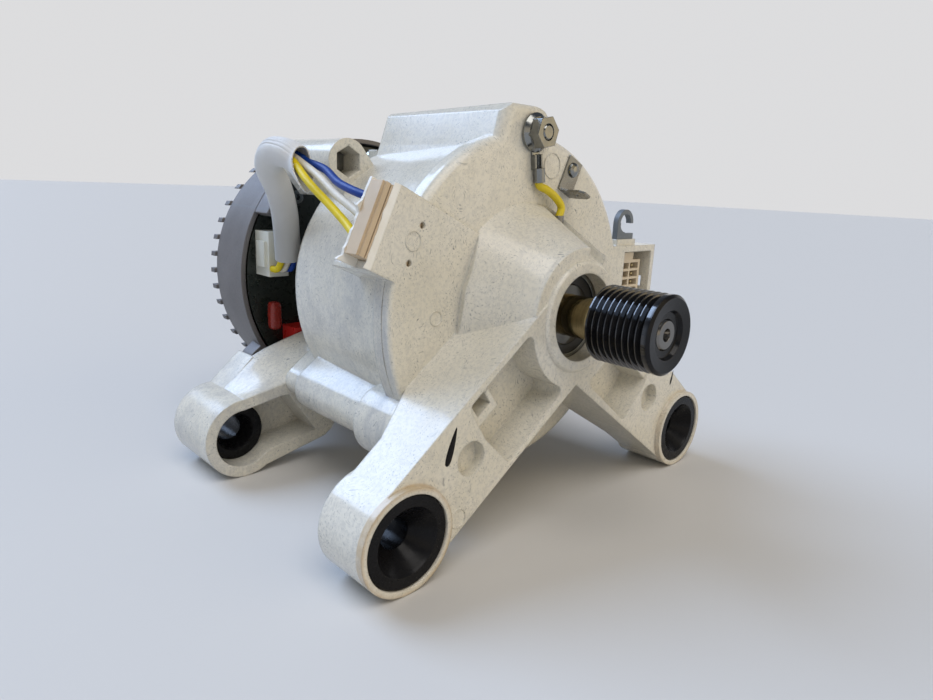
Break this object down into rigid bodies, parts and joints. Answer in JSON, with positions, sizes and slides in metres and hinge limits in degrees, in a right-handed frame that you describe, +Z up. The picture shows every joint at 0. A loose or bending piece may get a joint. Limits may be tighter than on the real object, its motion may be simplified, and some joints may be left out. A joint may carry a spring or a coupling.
{
  "type": "washing machine motor",
  "caption": "Brushless drum-drive motor of a washing machine: off-white moulded housing with lugs, ribbed belt pulley, finned rear cover, sleeved lead and earth connection.",
  "frame": {"origin": "on the floor under the middle of the whole motor", "axes": "+Z up, +Y from the pulley to the rear cover along the shaft, +X to the right seen from the pulley"},
  "size_m": [0.191, 0.206, 0.1491],
  "materials": {
    "moulding": "gloss off-white fibre-filled moulding with fine dark flecks",
    "cast_cover": "matt as-cast aluminium",
    "bush_black": "gloss black",
    "turned_steel": "turned and ground",
    "lamination": "stacked sheet",
    "magnet": "sintered, dark",
    "pulley_black": "gloss black",
    "bearing_steel": "ground bright",
    "seal_black": "satin black",
    "cage_brass": "pressed",
    "zinc": "bright zinc plate",
    "bobbin": "matt",
    "winding": "enamelled wire",
    "board": "dark lacquer",
    "component_black": "matt",
    "connector_white": "satin",
    "capacitor_red": "gloss dip",
    "plug_tan": "satin",
    "wire_blue": "satin insulation",
    "wire_white": "satin insulation",
    "wire_yellow": "satin insulation",
    "sleeve_white": "varnished woven sleeve",
    "pin_metal": "plated",
    "hook_grey": "matt"
  },
  "bodies": {
    "stator": {"motor_housing": "moulding", "rear_bracket": "moulding", "heat_sink_cover": "cast_cover", "front_bush_left": "bush_black", "front_bush_right": "bush_black", "rear_bush_left": "bush_black", "rear_bush_right": "bush_black", "front_bearing_outer": "bearing_steel", "front_bearing_seals": "seal_black", "rear_bearing_outer": "bearing_steel", "rear_bearing_seals": "seal_black", "wave_washer": "zinc", "stator_core": "lamination", "coil_bobbins": "bobbin", "stator_coils": "winding", "tie_screws": "zinc", "bracket_screws": "zinc", "cover_screws": "zinc", "cover_nuts": "zinc", "control_board": "board", "board_screws": "zinc", "board_connector": "connector_white", "film_capacitor": "capacitor_red", "line_capacitor": "capacitor_red", "bulk_capacitor": "component_black", "power_module": "component_black", "lead_plug": "plug_tan", "lead_wire_blue": "wire_blue", "lead_wire_white": "wire_white", "lead_wire_yellow": "wire_yellow", "lead_sleeve": "sleeve_white", "earth_stud": "zinc", "earth_nut": "zinc", "earth_ring_terminal": "zinc", "earth_wire": "wire_yellow", "earth_crimp": "zinc", "earth_tab": "zinc", "earth_rivet": "zinc", "signal_pin_block": "plug_tan", "signal_pins": "pin_metal", "cable_hook": "hook_grey"},
    "rotor": {"shaft": "turned_steel", "rotor_core": "lamination", "rotor_magnets": "magnet", "sensor_magnet": "magnet", "pulley": "pulley_black", "front_bearing_inner": "bearing_steel", "rear_bearing_inner": "bearing_steel"},
    "front_cage": {"front_bearing_balls": "bearing_steel", "front_bearing_cage": "cage_brass"},
    "rear_cage": {"rear_bearing_balls": "bearing_steel", "rear_bearing_cage": "cage_brass"}
  },
  "joints": [
    {"name": "rotor_spin", "type": "hinge", "parent": "stator", "child": "rotor", "pos_m": [0, 0, 0.0765], "axis": [0, 1, 0], "continuous": true},
    {"name": "front_cage_spin", "type": "hinge", "parent": "stator", "child": "front_cage", "pos_m": [0, -0.0565, 0.0765], "axis": [0, 1, 0], "continuous": true},
    {"name": "rear_cage_spin", "type": "hinge", "parent": "stator", "child": "rear_cage", "pos_m": [0, 0.04, 0.0765], "axis": [0, 1, 0], "continuous": true}
  ],
  "couplings": [
    {"joint": "front_cage_spin", "follows": "rotor_spin", "ratio": 0.39},
    {"joint": "rear_cage_spin", "follows": "rotor_spin", "ratio": 0.3818}
  ]
}
